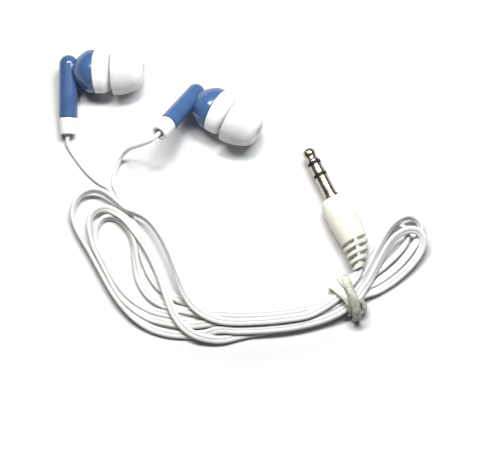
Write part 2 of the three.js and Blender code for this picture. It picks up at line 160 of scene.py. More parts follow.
# The last stretch, over the hank and up into the strain relief.
TO_PLUG = [
    (42.3, -53.6, 2.7), (45.2, -51.5, 2.8), (47.4, -49.3, 3), (49.2, -47.1, 3.5), (50.1, -45.6, 3.85),
    (50.32, -44.3, 3.9),
]


# ---- Camera ---------------------------------------------------------------------------------


def add_camera():
    aim = Vector((23.0, -35.2, 0)) * MM
    elevation = math.radians(77)
    distance = 322 * MM
    back = Vector((0, -math.cos(elevation), math.sin(elevation)))
    data = bpy.data.cameras.new("camera")
    data.sensor_width = 36
    data.lens = 90.7
    data.clip_start = 0.01
    camera = bpy.data.objects.new("camera", data)
    camera.location = aim + back * distance
    camera.rotation_euler = (-back).to_track_quat("-Z", "Y").to_euler()
    bpy.context.scene.collection.objects.link(camera)
    bpy.context.scene.camera = camera


# ---- Mesh helpers ---------------------------------------------------------------------------


def new_object(name, vertices, faces):
    mesh = bpy.data.meshes.new(name)
    mesh.from_pydata([tuple(v) for v in vertices], [], faces)
    mesh.update()
    piece = bpy.data.objects.new(name, mesh)
    bpy.context.scene.collection.objects.link(piece)
    return piece


def new_solid(name, vertices, faces):
    """A closed mesh that is shaded smooth, with its faces turned outwards."""
    piece = new_object(name, vertices, faces)
    piece.data.polygons.foreach_set("use_smooth", [True] * len(piece.data.polygons))
    shape = bmesh.new()
    shape.from_mesh(piece.data)
    bmesh.ops.recalc_face_normals(shape, faces=shape.faces)
    shape.to_mesh(piece.data)
    shape.free()
    return piece


def tube_faces(rings, sides, closed=False):
    """Faces round a row of rings of vertices, capped at both ends or closed on itself."""
    total = rings * sides
    faces = []
    for i in range(rings if closed else rings - 1):
        a, b = i * sides, (i + 1) * sides % total
        for k in range(sides):
            n = (k + 1) % sides
            faces.append((a + k, a + n, b + n, b + k))
    if not closed:
        faces += [tuple(range(sides)), tuple(range(total - sides, total))]
    return faces


def catmull(points, step):
    """Points every step along a smooth curve through the given points, of any dimension."""
    p = np.array(points, float)
    p = np.vstack([2 * p[0] - p[1], p, 2 * p[-1] - p[-2]])
    fine = []
    for i in range(1, len(p) - 2):
        knots = [0.0]
        for a, b in zip(p[i - 1:i + 2], p[i:i + 3]):
            knots.append(knots[-1] + max(np.linalg.norm((b - a)[:3]), 1e-6) ** 0.5)
        t = np.linspace(knots[1], knots[2], 24, endpoint=False)[:, None]

        def mix(a, b, ta, tb):
            return (tb - t) / (tb - ta) * a + (t - ta) / (tb - ta) * b

        k0, k1, k2, k3 = knots
        a1, a2, a3 = (mix(p[i - 1], p[i], k0, k1), mix(p[i], p[i + 1], k1, k2),
                      mix(p[i + 1], p[i + 2], k2, k3))
        fine.append(mix(mix(a1, a2, k0, k2), mix(a2, a3, k1, k3), k1, k2))
    fine = np.vstack([*fine, p[-2]])
    along = np.concatenate([[0], np.cumsum(np.linalg.norm(np.diff(fine[:, :3], axis=0), axis=1))])
    places = np.linspace(0, along[-1], max(int(round(along[-1] / step)), 2) + 1)
    return np.stack([np.interp(places, along, fine[:, k]) for k in range(fine.shape[1])], 1)


# ---- Cord -----------------------------------------------------------------------------------


def with_tilt(points):
    """The points with a tilt of 0 where none is given."""
    return [tuple(p) if len(p) == 4 else (*p, 0) for p in points]


def pass_through_hank(lane, layer, forwards=True, skip=0):
    """One pass of the cord through the hank, in its lane and layer. Forwards is to the right."""
    middle = np.array(HANK_MIDDLE, float)
    heading = np.gradient(middle, axis=0)
    heading /= np.linalg.norm(heading, axis=1)[:, None]
    left = np.stack([-heading[:, 1], heading[:, 0]], 1)
    squeeze = np.linspace(1, HANK_SQUEEZE, len(middle))[:, None]
    places = middle + left * HANK_LANES[lane] * squeeze
    run = [(x, y, HANK_LAYERS[layer], 0) for x, y in places[skip:]]
    return run if forwards else run[::-1]


def twin_route():
    """The middle line of the flat pair of strands, from the split to the plug."""
    return [
        *SPLIT, *pass_through_hank(0, 0), *INNER_RIGHT_LOOP, *pass_through_hank(0, 1, False),
        *INNER_LEFT_LOOP, *pass_through_hank(1, 0), *MIDDLE_RIGHT_LOOP,
        *pass_through_hank(1, 1, False), *MIDDLE_LEFT_LOOP, *pass_through_hank(2, 0, skip=3),
        *OUTER_RIGHT_LOOP, *pass_through_hank(2, 1, False), *OUTER_LEFT_LOOP,
        *pass_through_hank(1, 2, skip=1)[:-4], *TO_PLUG,
    ]


def strand_lines():
    """The middle lines of the left and the right strand, each from its earbud to the plug.

    Each is in two parts: where it runs alone, and where it is a twin, point beside point.
    """
    line = catmull(with_tilt(twin_route()), ROUTE_STEP)
    reach = np.abs((line[:, :2] - TIE_MIDDLE) @ TIE_HEADING)
    lift = TIE_LIFT * (0.5 + 0.5 * np.cos(math.pi * np.clip(reach / TIE_REACH, 0, 1)))
    line[:, 2] += lift * np.clip((TIE_TOP - line[:, 2]) / TIE_FADE, 0, 1)
    heading = np.gradient(line[:, :3], axis=0)
    heading /= np.linalg.norm(heading, axis=1)[:, None]
    level = np.cross((0, 0, 1.0), heading)
    level /= np.linalg.norm(level, axis=1)[:, None]
    upward = np.cross(heading, level)
    tilt = np.radians(line[:, 3])[:, None]
    across = np.cos(tilt) * level + np.sin(tilt) * upward
    lines = []
    for start, side in ((LEFT_STRAND, -1), (RIGHT_STRAND, 1)):
        twin = line[:, :3] + across * side * STRAND_GAP / 2
        alone = catmull([*start, tuple(twin[JOIN])], ROUTE_STEP)
        lines.append((alone[:-1], twin[JOIN:]))
    return lines


def relief_swing(behind):
    """How far aside the plug's strain relief lies, so far behind the plug's shoulder."""
    return RELIEF_SWING * np.clip((behind - RELIEF_START) / RELIEF_LENGTH, 0, 1) ** 1.6


def plug_spheres():
    """Middles and radii of spheres that fill the plug's moulded body and strain relief."""
    places = np.linspace(1.5, RELIEF_START + RELIEF_LENGTH, 38)
    swing = relief_swing(places)
    radii = np.interp(places, [1, 6, 10, 13, 15, 17.5, 20], [3.4, 3.9, 3.75, 3.4, 2.95, 2.35, 1.65])
    turn = math.radians(PLUG["yaw"])
    x = PLUG["origin"][0] - places * math.cos(turn) - swing * math.sin(turn)
    y = PLUG["origin"][1] - places * math.sin(turn) + swing * math.cos(turn)
    return np.stack([x, y, np.full_like(x, PLUG["origin"][2])], 1), radii


def near_pairs(points, strand, order, partner, reach):
    """Pairs of points within reach, apart from those along one strand and those of twins."""
    distance = np.linalg.norm(points[:, None] - points[None], axis=2)
    first, second = np.nonzero(np.triu(distance < reach, 1))
    along = (strand[first] == strand[second]) & (abs(order[first] - order[second]) < 5)
    twins = (partner[first] >= 0) & (abs(partner[first] - second) < 3)
    apart = ~along & ~twins
    return first[apart], second[apart]


def settle(lines, rounds=240, search_every=12, search_margin=0.7, push_share=0.25, hold=0.995):
    """Eases the strands off one another, off the plug and off the floor, keeping their run.

    Each round shares out every overlap, smooths the shifts from the route and lets go of a little.
    """
    points = np.vstack([part for line in lines for part in line])
    home = points.copy()
    counts = [len(alone) + len(twin) for alone, twin in lines]
    strand = np.repeat([0, 1], counts)
    order = np.concatenate([np.arange(counts[0]), np.arange(counts[1])])
    left_twin = np.arange(len(lines[0][0]), counts[0])
    right_twin = counts[0] + np.arange(len(lines[1][0]), counts[1])
    held = (order < 3) | (order >= np.repeat(counts, counts) - 4)  # at the earbuds and the plug
    plug_middles, plug_radii = plug_spheres()
    touch = 2 * STRAND_RADIUS
    partner = np.full(len(points), -1)
    partner[left_twin] = right_twin
    partner[right_twin] = left_twin
    for turn in range(rounds):
        if turn % search_every == 0:
            first, second = near_pairs(points, strand, order, partner, touch + search_margin)
        gap = points[first] - points[second]
        far = np.maximum(np.linalg.norm(gap, axis=1), 1e-6)
        push = (np.clip(touch - far, 0, None) / far * push_share)[:, None] * gap
        np.add.at(points, first, push)
        np.add.at(points, second, -push)
        gap = points[left_twin] - points[right_twin]
        far = np.linalg.norm(gap, axis=1)[:, None]
        pull = (STRAND_GAP - far) / far * 0.5 * gap
        points[left_twin] += pull
        points[right_twin] -= pull
        for middle, radius in zip(plug_middles, plug_radii):
            gap = points - middle
            far = np.linalg.norm(gap, axis=1)[:, None]
            points += np.clip(radius + STRAND_RADIUS - far, 0, None) / far * gap * 0.5
        points[:, 2] = np.maximum(points[:, 2], STRAND_RADIUS + 0.01)
        shift = points - home
        eased = shift.copy()
        eased[1:-1] = 0.5 * shift[1:-1] + 0.25 * (shift[:-2] + shift[2:])
        eased[held] = 0
        points = home + eased * hold
    return points[:counts[0]], points[counts[0]:]


def strand_paths():
    """For each strand, rows of x, y, z, the way to its twin, and 1 where it has a twin."""
    lines = strand_lines()
    settled = settle(lines)
    twins = [points[len(alone):] for points, (alone, _) in zip(settled, lines)]
    paths = []
    for points, twin, other in zip(settled, twins, reversed(twins)):
        facts = np.zeros((len(points), 4))
        facts[-len(twin):, :3] = other - twin
        facts[-len(twin):, 3] = 1
        facts[:-len(twin), :3] = (other - twin)[0]
        paths.append(catmull(np.hstack([points, facts]), PATH_STEP))
    return paths


def strand_tube(name, path, toward, weight):
    """A closed tube along a path in millimetres, squarer on the side that faces its twin.

    Where the weight is 1, toward points at the twin; where it is 0, the tube is round.
    """
    tangent = np.gradient(path, axis=0)
    tangent /= np.linalg.norm(tangent, axis=1)[:, None]
    side = toward - tangent * (toward * tangent).sum(axis=1)[:, None]
    first = int(np.argmax(weight > 0.9))
    for i in reversed(range(first)):
        side[i] = side[i + 1] - tangent[i] * (side[i + 1] @ tangent[i])
    side /= np.linalg.norm(side, axis=1)[:, None]
    other = np.cross(tangent, side)
    wide = np.full(len(path), STRAND_RADIUS)
    wide[[0, -1]] *= 0.7  # rounds off both ends
    angle = 2 * math.pi * np.arange(STRAND_SIDES) / STRAND_SIDES
    round_section = np.stack([np.cos(angle), np.sin(angle)], axis=1)
    flat_section = round_section.copy()
    inner = np.array(TWIN_SIDE)
    flat_section[:len(inner)] = inner
    flat_section[1 - len(inner):] = inner[:0:-1] * (1, -1)
    blend = weight[:, None, None]
    section = (round_section * (1 - blend) + flat_section * blend) * wide[:, None, None]
    rings = path[:, None] + section[..., :1] * side[:, None] + section[..., 1:] * other[:, None]
    return new_solid(name, rings.reshape(-1, 3) * MM, tube_faces(len(path), STRAND_SIDES))


def add_cord(paint):
    """The two strands, each put on the headset's body in place of the CAD's cords and hank."""
    for side, rows in zip(("left", "right"), strand_paths()):
        path = rows[:, :3]
        piece = strand_tube(f"{side}_strand", path, rows[:, 3:6], np.clip(rows[:, 6], 0, 1))
        piece.data.materials.append(paint["cord_jacket"])
        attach(piece, "headset")
        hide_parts(f"{side}_cord", "main_cord", "cord_hank")


# ---- Turned and swept pieces ----------------------------------------------------------------


def soften(profile, reach, closed):
    """Rounds the corners of a profile of (along, radius) points, with a spare point beside each."""
    points = [Vector(p) for p in profile]
    count = len(points)
    rounded = []
    for i, corner in enumerate(points):
        if not closed and i in (0, count - 1):
            rounded.append(corner)
            continue
        back = points[i - 1] - corner
        ahead = points[(i + 1) % count] - corner
        turn = math.pi - back.angle(ahead)
        if turn < 0.3:
            rounded.append(corner)
            continue
        near, far = min(reach, back.length * 0.4), min(reach, ahead.length * 0.4)
        start, end = corner + back.normalized() * near, corner + ahead.normalized() * far
        rounded.append(corner + back.normalized() * min(near * 1.5, back.length * 0.48))
        for t in (0, 0.25, 0.5, 0.75, 1):
            rounded.append(start * (1 - t) ** 2 + corner * 2 * t * (1 - t) + end * t ** 2)
        rounded.append(corner + ahead.normalized() * min(far * 1.5, ahead.length * 0.48))
    return rounded


def smooth_run(points, step=0.35):
    """Points along a smooth curve through (along, radius) points."""
    return [tuple(p) for p in catmull([(*p, 0) for p in points], step)[:, :2]]


def turned(name, profile, reach=0.08, sides=72, axis="X", bend=None):
    """A solid of revolution from (along, radius) points, about X or Y.

    A profile that starts on the axis is open, and any other is a ring. Bend moves each vertex.
    """
    closed = profile[0][1] > 1e-6
    points = soften(profile, reach, closed)
    vertices, rings = [], []
    for along, radius in points:
        here = len(vertices)
        if radius < 1e-6:
            rings.append([here])
            vertices.append((along, 0.0, 0.0))
            continue
        rings.append(list(range(here, here + sides)))
        for k in range(sides):
            angle = 2 * math.pi * k / sides
            vertices.append((along, radius * math.cos(angle), radius * math.sin(angle)))
    faces = []
    pairs = list(zip(rings, rings[1:])) + ([(rings[-1], rings[0])] if closed else [])
    for a, b in pairs:
        for k in range(sides):
            n = (k + 1) % sides
            if len(a) == 1 and len(b) == 1:
                continue
            if len(a) == 1:
                faces.append((a[0], b[n], b[k]))
            elif len(b) == 1:
                faces.append((a[k], a[n], b[0]))
            else:
                faces.append((a[k], a[n], b[n], b[k]))
    if axis == "Y":
        vertices = [(-y, x, z) for x, y, z in vertices]
    if bend:
        vertices = [bend(v) for v in vertices]
    return new_solid(name, vertices, faces)


def combine(base, other, operation):
    """Joins or cuts one closed mesh with another, which is used up."""
    change = base.modifiers.new("change", "BOOLEAN")
    change.operation = operation
    change.solver = "EXACT"
    change.object = other
    bpy.context.view_layer.update()
    graph = bpy.context.evaluated_depsgraph_get()
    mesh = bpy.data.meshes.new_from_object(base.evaluated_get(graph))
    base.modifiers.clear()
    base.data = mesh
    bpy.data.objects.remove(other)
    return base


def merge(name, pieces):
    """One object from several closed meshes."""
    shape = bmesh.new()
    for piece in pieces:
        shape.from_mesh(piece.data)
        bpy.data.objects.remove(piece)
    mesh = bpy.data.meshes.new(name)
    shape.to_mesh(mesh)
    shape.free()
    joined = bpy.data.objects.new(name, mesh)
    bpy.context.scene.collection.objects.link(joined)
    return joined


def place(piece, matrix):
    """Moves a mesh made in millimetres to its place, in metres."""
    piece.data.transform(Matrix.Scale(MM, 4) @ matrix)
    piece.data.update()
    return piece


def finish_piece(piece, name, paint, finish, body, node, sharp=38):
    """Names a piece, gives it its finish, and puts it on its body in place of a CAD node."""
    piece.name = piece.data.name = name
    piece.data.polygons.foreach_set("use_smooth", [True] * len(piece.data.polygons))
    piece.data.set_sharp_from_angle(angle=math.radians(sharp))
    piece.data.materials.clear()
    piece.data.materials.append(paint[finish])
    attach(piece, body)
    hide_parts(node)


# ---- Earbuds --------------------------------------------------------------------------------


def earbud_matrix(spot):
    """An earbud's own frame, with X out through its ear tip and Y up its stem."""
    turn = Matrix.Rotation(math.radians(spot["yaw"]), 4, "Z")
    turn = turn @ Matrix.Rotation(math.radians(-spot["pitch"]), 4, "Y")
    turn = turn @ Matrix.Rotation(math.radians(spot["roll"]), 4, "X")
    return Matrix.Translation(spot["origin"]) @ turn


def quarter(middle, radius, reach, steps=12):
    """The rounded end of a profile, a quarter of an ellipse down to the axis."""
    angles = [math.pi / 2 * i / steps for i in range(steps + 1)]
    run = [(middle + reach * math.sin(a), radius * math.cos(a)) for a in angles]
    return [*run[:-1], (middle + reach, 0)]


def make_housing():
    """The blue shell: a dome and a stem, hollow, and open at the front and at the stem's foot."""
    dome = smooth_run([(0.4, 0.001), (0.55, 0.9), (0.95, 1.75), (2.1, 3.2), (3, 4.1), (4.05, 4.9),
                       (4.8, 5.35), (5.7, 5.62)])
    rim = [(6, HEAD_RADIUS), (6.9, HEAD_RADIUS), (6.9, 0)]
    base = turned("dome", [(0.4, 0), *dome[1:], *rim], reach=0.1, sides=96)
    foot = [(-11.9, 0), (-11.9, 2.38), (-4, STEM_RADIUS), (0, STEM_RADIUS)]
    top = quarter(1.9, STEM_RADIUS, STEM_RADIUS)
    stem = turned("stem", [*foot, *top], reach=0.1, sides=64, axis="Y")
    cavity = turned("cavity", [(-0.6, 0), (-0.6, 1.1), (2.4, 2.6), (3.4, 3.7), (4.4, 4.5), (5.4, 4.95),
                               (6.1, 4.95), (6.1, 5.3), (8, 5.3), (8, 0)], reach=0.01, sides=64)
    bore = turned("bore", [(-13, 0), (-13, 1.75), (0, 1.75), (1, 0)], reach=0.01, sides=48, axis="Y")
    combine(base, stem, "UNION")
    combine(base, cavity, "DIFFERENCE")
    return combine(base, bore, "DIFFERENCE")


def make_front_cover():
    """The white front shell, with a lip inside the housing's rim and the nozzle in front."""
    shoulder = smooth_run([(9.2, HEAD_RADIUS), (10.05, 5.35), (10.75, 4.7), (11.2, 3.8),
                           (11.38, 2.7)], 0.2)
    return turned("cover", [
        (7.1, 5.2), (7.1, HEAD_RADIUS), (8.4, HEAD_RADIUS), *shoulder, (11.4, 2.2), (15.8, 2.2),
        (16.1, 2.4), (16.8, 2.4), (17.1, 2.15), (17.1, 1.9), (16.55, 1.9), (16.55, 1.5), (10.8, 1.5),
        (10.5, 3.4), (10, 4.4), (9.5, 4.95), (6.3, 4.95), (6.3, 5.2),
    ], sides=96)


def make_ear_tip():
    """The silicone tip: a skirt folded back over the sleeve that grips the nozzle."""
    outside = smooth_run([(13.4, 6.03), (15.5, 5.6), (17.3, 4.9), (18.6, 4.15), (19.3, 3.5),
                          (19.68, 2.75)], 0.2)
    inside = smooth_run([(16.7, 3.15), (17.45, 3.7), (16.9, 4.55), (15.3, 5.15), (13.3, 5.6)], 0.2)
    return turned("tip", [
        (11.75, 5.6), (11.75, 6.05), (12.4, 6.05), *outside, (19.7, 2.4), (19.7, 1.9), (17.4, 1.9),
        (17.4, 2.55), (11.95, 2.55), (11.95, 3.15), *inside,
    ], reach=0.2, sides=96)


def make_stem_cap():
    """The white collar at the stem's foot, with a rounded mouth for the cord."""
    return turned("cap", [
        (-16.3, 1.3), (-16.3, 1.9), (-16.1, 2.05), (-12.1, 2.33), (-12.1, 1.6), (-9.7, 1.6),
        (-9.7, 0.75), (-14.7, 0.75), (-14.9, 1.3),
    ], reach=0.15, sides=64, axis="Y")


def add_earbuds(paint):
    for side, spot in EARBUDS.items():
        matrix = earbud_matrix(spot)
        pieces = (
            ("shell", make_housing, "blue_shell", "headset", "housing"),
            ("cover", make_front_cover, "white_shell", "headset", "front_cover"),
            ("cap", make_stem_cap, "white_shell", "headset", "stem_cap"),
            ("silicone_tip", make_ear_tip, "tip_silicone", f"{side}_tip", "ear_tip"),
        )
        for name, make, finish, body, node in pieces:
            piece = place(make(), matrix)
            finish_piece(piece, f"{side}_{name}", paint, finish, body, f"{side}_{node}")


# ---- Plug -----------------------------------------------------------------------------------


def relief_bend(vertex):
    """Swings a vertex of the plug's body aside with the strain relief."""
    x, y, z = vertex
    return x, y + relief_swing(-x), z


def ring_profile(front, back, outer, tail, tail_end, bore):
    """A ring on the pin, with a thinner tube behind it that runs back into the body."""
    return [(tail_end, bore), (tail_end, tail), (back, tail), (back, outer), (front, outer),
            (front, bore)]


def make_moulding():
    """The plug's body: a smooth grip and a bent strain relief with four slots round it."""
    outline = smooth_run([(-1.3, 3.35), (-2, 3.6), (-3.4, 3.8), (-6, 3.9), (-10, 3.76),
                          (-12.6, 3.5)], 0.5)
    pitch, width, depth = 1.76, 0.85, 1.4
    radii = [3.45, 3.3, 2.95, 2.35, 1.65]
    for i, (before, after) in enumerate(zip(radii, radii[1:])):
        front = -13 - pitch * i
        back = front - width
        floor = max(after - depth, 1.35)
        outline += [(front, before), (front, floor), (back, floor), (back, after + 0.15)]
    inside = [(-20 + 1.44 * i, 1.15) for i in range(6)]
    return turned("moulding", [
        (-0.8, 1.9), (-0.8, 2.9), *outline, (-20, 1.55), *inside, (-10.2, 1.15), (-10.2, 2.6),
        (-3.5, 2.6), (-3.5, 1.9),
    ], reach=0.16, bend=relief_bend)


def make_web(sign):
    """The rib that joins the rings of the strain relief, on its top (sign 1) or its underside."""
    half, foot, bevel = 0.45, 1.3, 0.12
    run = np.linspace(-12.8, -19.3, 16)
    tops = np.interp(run, [-19.3, -16.6, -12.8], [1.5, 2.75, 3.4])
    vertices = []
    for x, top in zip(run, tops):
        rising = [(-half, foot), (-half, top - bevel), (bevel - half, top)]
        corners = rising + [(-y, z) for y, z in reversed(rising)]
        vertices += [relief_bend((x, y, sign * z)) for y, z in corners]
    return new_solid("web", vertices, tube_faces(len(run), 6))


def make_plug_body():
    return merge("body", [make_moulding(), make_web(-1), make_web(1)])


def add_plug(paint):
    matrix = Matrix.Translation(PLUG["origin"]) @ Matrix.Rotation(math.radians(PLUG["yaw"]), 4, "Z")
    point = smooth_run([(11.3, 1.46), (12.1, 1.7), (12.9, 1.6), (13.6, 1.05), (13.94, 0.45)], 0.15)
    tip = [(-6, 0), (-6, 0.45), (9.85, 0.45), (9.85, PIN_RADIUS), (10.2, PIN_RADIUS), (10.7, 1.5),
           *point, (14, 0)]
    sleeve = [(-3.4, 1.45), (-3.4, PIN_RADIUS), (-0.6, PIN_RADIUS), (-0.6, 2.1), (0, 2.1),
              (0, PIN_RADIUS), (5.5, PIN_RADIUS), (5.5, 1.45)]
    ring = ring_profile(8.95, 6.4, PIN_RADIUS, 1.05, -2.2, 0.85)
    front_band = ring_profile(9.83, 8.97, PIN_RADIUS - 0.01, 0.75, -2.8, 0.55)
    rear_band = ring_profile(6.38, 5.52, PIN_RADIUS - 0.01, 1.35, -3, 1.15)
    pieces = (
        ("pin_point", tip, "contact_metal", "plug_tip"),
        ("pin_ring", ring, "contact_metal", "plug_ring"),
        ("pin_sleeve", sleeve, "contact_metal", "plug_sleeve"),
        ("pin_front_band", front_band, "black_plastic", "plug_front_insulator"),
        ("pin_rear_band", rear_band, "black_plastic", "plug_rear_insulator"),
    )
    for name, profile, finish, node in pieces:
        piece = place(turned(name, profile, reach=0.06), matrix)
        finish_piece(piece, name, paint, finish, "headset", node)
    moulding = place(make_plug_body(), matrix)
    finish_piece(moulding, "plug_moulding", paint, "cream_plastic", "headset", "plug_body")


# ---- Elastic band ---------------------------------------------------------------------------


def strap(name, points, closed=False, sides=14):
    """A band along points of (x, y, z, width, thickness), flat towards the middle of the points."""
    points = np.array(points, float)
    middle = points[:, :3].mean(axis=0)
    if closed:
        points = np.vstack([points[-2:], points, points[:3]])
    run = catmull(points, 0.3)
    if closed:  # keep one turn of it
        half = len(run) // 2
        far = np.linalg.norm(run[:, :3] - points[2, :3], axis=1)
        run = run[np.argmin(far[:half]):half + np.argmin(far[half:])]
    tangent = np.gradient(run[:, :3], axis=0)
    if closed:
        tangent[0] = tangent[-1] = run[1, :3] - run[-1, :3]
    tangent /= np.linalg.norm(tangent, axis=1)[:, None]
    outward = run[:, :3] - middle
    outward -= tangent * (outward * tangent).sum(axis=1)[:, None]
    outward /= np.linalg.norm(outward, axis=1)[:, None]
    across = np.cross(tangent, outward)
    angle = 2 * math.pi * np.arange(sides) / sides
    section = np.stack([np.cos(angle), np.sin(angle)], axis=1)
    section = np.sign(section) * np.abs(section) ** 0.8  # between an ellipse and a rectangle
    vertices = []
    for spot, out, side in zip(run, outward, across):
        wide, thick = spot[3:] / 2
        vertices += [spot[:3] + side * c * wide + out * s * thick for c, s in section]
    return new_solid(name, vertices, tube_faces(len(run), sides, closed))


def add_band(paint):
    """The elastic band round the hank: two wraps, a loose loop and a spare end."""
    over = strap("over", [
        (46.5, -46.4, 3.2, 2, 1.1), (46.9, -47.5, 5, 2.1, 1.2), (47.6, -49.3, 5.9, 2.1, 1.3),
        (48.4, -51.6, 6.1, 2.1, 1.4), (49.1, -53.9, 5.7, 2.2, 1.4), (49.6, -55.9, 4.3, 2.4, 1.4),
        (49.8, -56.9, 2.6, 2.4, 1.2), (49.6, -56.6, 1, 2.2, 0.9), (49.1, -55, 0.5, 2, 0.8),
        (48.3, -52, 0.45, 2, 0.8), (47.5, -49, 0.45, 2, 0.8), (46.8, -46.9, 0.8, 2, 0.9),
        (46.4, -46.2, 1.8, 2, 1),
    ], closed=True)
    under = strap("under", [
        (43.9, -48.2, 0.7, 2.4, 0.9), (43.9, -48.5, 2.2, 2.5, 0.9), (44.5, -49.3, 3.9, 2.6, 1),
        (45.7, -50.5, 4.7, 2.6, 1), (47.1, -52, 4.8, 2.5, 1), (48.2, -53.8, 4.2, 2.3, 1),
        (48.6, -55, 2.9, 2.1, 1), (48.5, -55.6, 1.6, 2, 1), (48.1, -55.4, 0.6, 2, 0.8),
    ])
    loose = strap("loose", [
        (50, -52.3, 2.4, 1.9, 1.1), (51, -52.6, 2.6, 1.9, 1.1), (51.6, -53.4, 2.5, 1.9, 1.1),
        (51.7, -54.4, 2, 1.9, 1.1), (51.1, -55.2, 1.4, 1.9, 1.1), (50.3, -55.4, 1.1, 1.9, 1.1),
    ])
    spare = strap("spare", [
        (45.4, -46.7, 2.2, 1.3, 0.9), (45.7, -47.3, 3.9, 1.3, 0.9), (46.2, -48.3, 4.7, 1.3, 0.9),
        (47, -49.5, 4.9, 1.3, 0.9),
    ])
    band = place(merge("elastic_band", [over, under, loose, spare]), Matrix.Identity(4))
    finish_piece(band, "elastic_band", paint, "band_elastic", "headset", "hank_band", sharp=70)


# ---- Materials ------------------------------------------------------------------------------


def add_node(tree, kind, links=(), **settings):
    """A node with its inputs set by name, and links of (input, node, output) made to it."""
    node = tree.nodes.new(kind)
    for name, value in settings.items():
        name = name.replace("_", " ")
        if name in node.inputs:
            node.inputs[name].default_value = value
        else:
            setattr(node, name.replace(" ", "_"), value)
    for name, source, output in links:
        tree.links.new(source.outputs[output], node.inputs[name])
    return node


def relief_source(tree, vector, grain, pattern):
    """The node and output that a relief comes from: fine grain, or a pattern in its place."""
    if pattern == "holes":
        cells = add_node(tree, "ShaderNodeTexVoronoi", [vector], Scale=1 / (0.28 * MM), Randomness=0.15)
        return cells, "Distance"
    if pattern == "winding":
        waves = add_node(tree, "ShaderNodeTexWave", [vector], Scale=0.7 / MM, Distortion=1.5,
                         bands_direction="X")
        return waves, "Color"
    if pattern == "brushed":
        turns = add_node(tree, "ShaderNodeTexWave", [vector], Scale=1.6 / MM, Distortion=6, Detail=3)
        return turns, "Color"
    return add_node(tree, "ShaderNodeTexNoise", [vector], Scale=1 / (grain * MM), Detail=5), 0


def painted_light_ramp(tree, vector, broad):
    """The broad noise, raised towards the band's left edge: painted light makes it paler there, and painted
    shade makes it darker towards its right lower end.
    """
    place_x = add_node(tree, "ShaderNodeSeparateXYZ", [vector])
    fade = add_node(tree, "ShaderNodeMapRange", [("Value", place_x, "X")], From_Min=48.2 * MM,
                    From_Max=44.8 * MM, To_Min=-0.15, To_Max=0.3)
    return add_node(tree, "ShaderNodeMath", [(0, broad, 0), (1, fade, "Result")], operation="ADD")


def textured(name, dark, light, rough=(0.3, 0.4), grain=0.4, bump=0.02, spots=2.5, pattern=None,
             **shader):
    """A material whose colour, roughness and bump vary. Grain, bump and spots are in mm."""
    material = bpy.data.materials.new(name)
    material.use_nodes = True
    tree = material.node_tree
    surface = tree.nodes["Principled BSDF"]
    where = add_node(tree, "ShaderNodeTexCoord")
    vector = ("Vector", where, "Object")
    broad = add_node(tree, "ShaderNodeTexNoise", [vector], Scale=1 / (spots * MM), Detail=3)
    height = relief_source(tree, vector, grain, pattern)
    shade = (broad, 0)
    if pattern == "holes":
        shade = height
        dark, light = light, dark
    # painted light and shade: a ramp across X makes the band paler towards its left edge and darker towards
    # its right
    if pattern == "painted_light_ramp":
        shade = (painted_light_ramp(tree, vector, broad), 0)
    tone = add_node(tree, "ShaderNodeValToRGB", [("Fac", *shade)])
    for stop, position, colour in zip(tone.color_ramp.elements, (0.3, 0.7), (dark, light)):
        stop.position = position
        stop.color = (*colour, 1)
    gloss = add_node(tree, "ShaderNodeMapRange", [("Value", broad, 0)], From_Min=0.3, From_Max=0.7,
                     To_Min=rough[0], To_Max=rough[1])
    relief = add_node(tree, "ShaderNodeBump", [("Height", *height)], Strength=0.5, Distance=bump * MM)
    tree.links.new(tone.outputs["Color"], surface.inputs["Base Color"])
    tree.links.new(gloss.outputs["Result"], surface.inputs["Roughness"])
    tree.links.new(relief.outputs["Normal"], surface.inputs["Normal"])
    surface.inputs["Subsurface Radius"].default_value = (1, 1, 1)
    for key, value in shader.items():
        surface.inputs[key.replace("_", " ")].default_value = value
    return material


